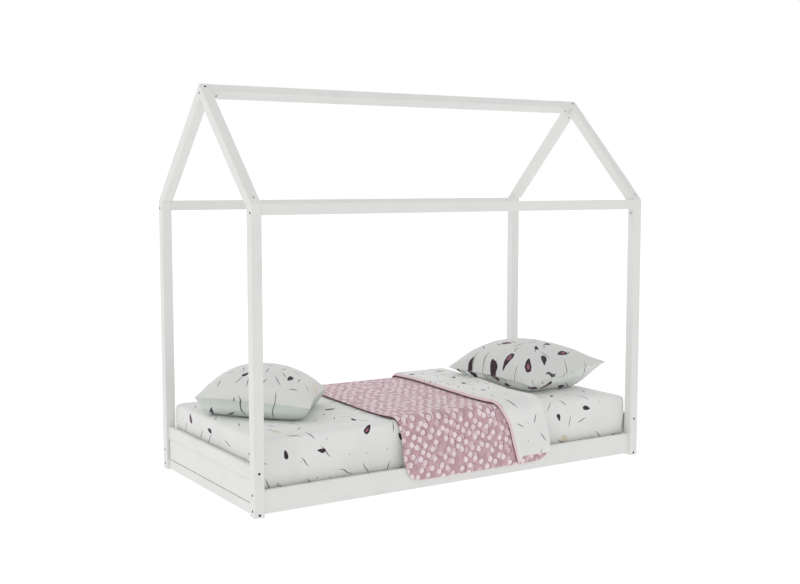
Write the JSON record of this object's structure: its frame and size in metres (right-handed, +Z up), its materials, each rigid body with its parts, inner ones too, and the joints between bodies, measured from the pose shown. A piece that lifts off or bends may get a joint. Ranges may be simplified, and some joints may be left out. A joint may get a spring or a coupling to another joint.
{
  "type": "house frame bed",
  "caption": "Low white children's bed inside an open house-shaped frame of square posts, eaves, rafters and a ridge, with slatted base, mattress, pillows and a folded quilt.",
  "frame": {"origin": "on the floor at the middle of the bed", "axes": "+X along the bed from the left end to the right end, +Y across it to the rear side, +Z up"},
  "size_m": [2.09, 1.006, 1.768],
  "materials": {
    "white_painted_pine": "satin white paint over pine",
    "bare_pine": "planed, unpainted pine",
    "beech_dowel": "fluted beech dowel",
    "black_bolt": "black oxide steel",
    "zinc_barrel_nut": "zinc plated steel",
    "zinc_screw": "zinc plated steel",
    "mattress_cloth": "printed cotton fitted sheet over foam",
    "pillow_cloth": "printed cotton pillowcase",
    "quilt_cloth": "printed cotton, pink face and pale reverse"
  },
  "bodies": {
    "frame": {"post_front_left": "white_painted_pine", "post_rear_left": "white_painted_pine", "post_front_right": "white_painted_pine", "post_rear_right": "white_painted_pine", "eave_rail_front": "white_painted_pine", "eave_rail_rear": "white_painted_pine", "rafter_front_left": "white_painted_pine", "rafter_rear_left": "white_painted_pine", "rafter_front_right": "white_painted_pine", "rafter_rear_right": "white_painted_pine", "ridge_beam": "white_painted_pine", "side_rail_front": "white_painted_pine", "side_rail_rear": "white_painted_pine", "end_top_rail_left": "white_painted_pine", "end_top_rail_right": "white_painted_pine", "end_infill_left": "white_painted_pine", "end_infill_right": "white_painted_pine", "end_bottom_rail_left": "white_painted_pine", "end_bottom_rail_right": "white_painted_pine", "slat_cleat_front": "white_painted_pine", "slat_cleat_rear": "white_painted_pine", "slat_01": "bare_pine", "slat_02": "bare_pine", "slat_03": "bare_pine", "slat_04": "bare_pine", "slat_05": "bare_pine", "slat_06": "bare_pine", "slat_07": "bare_pine", "slat_08": "bare_pine", "slat_09": "bare_pine", "slat_10": "bare_pine", "slat_11": "bare_pine", "slat_12": "bare_pine", "slat_13": "bare_pine", "rail_dowels": "beech_dowel", "ridge_dowels": "beech_dowel", "infill_dowels": "beech_dowel", "side_rail_bolts": "black_bolt", "end_rail_bolts": "black_bolt", "eave_bolts": "black_bolt", "rafter_foot_bolts": "black_bolt", "apex_bolts": "black_bolt", "ridge_bolts": "black_bolt", "side_rail_barrel_nuts": "zinc_barrel_nut", "end_rail_barrel_nuts": "zinc_barrel_nut", "eave_barrel_nuts": "zinc_barrel_nut", "rafter_foot_barrel_nuts": "zinc_barrel_nut", "apex_barrel_nuts": "zinc_barrel_nut", "ridge_barrel_nuts": "zinc_barrel_nut", "cleat_screws": "zinc_screw", "slat_screws": "zinc_screw"},
    "mattress": {"mattress": "mattress_cloth"},
    "left_pillow": {"pillow_left": "pillow_cloth"},
    "quilt": {"quilt": "quilt_cloth"},
    "right_pillow": {"pillow_right": "pillow_cloth"}
  },
  "joints": [
    {"name": "mattress_lift", "type": "slide", "parent": "frame", "child": "mattress", "axis": [0, 0, 1], "range_m": [0, 0.25]},
    {"name": "left_pillow_lift", "type": "slide", "parent": "mattress", "child": "left_pillow", "axis": [0, 0, 1], "range_m": [0, 0.25]},
    {"name": "quilt_lift", "type": "slide", "parent": "mattress", "child": "quilt", "axis": [0, 0, 1], "range_m": [0, 0.25]},
    {"name": "right_pillow_lift", "type": "slide", "parent": "quilt", "child": "right_pillow", "axis": [0, 0, 1], "range_m": [0, 0.25]}
  ]
}
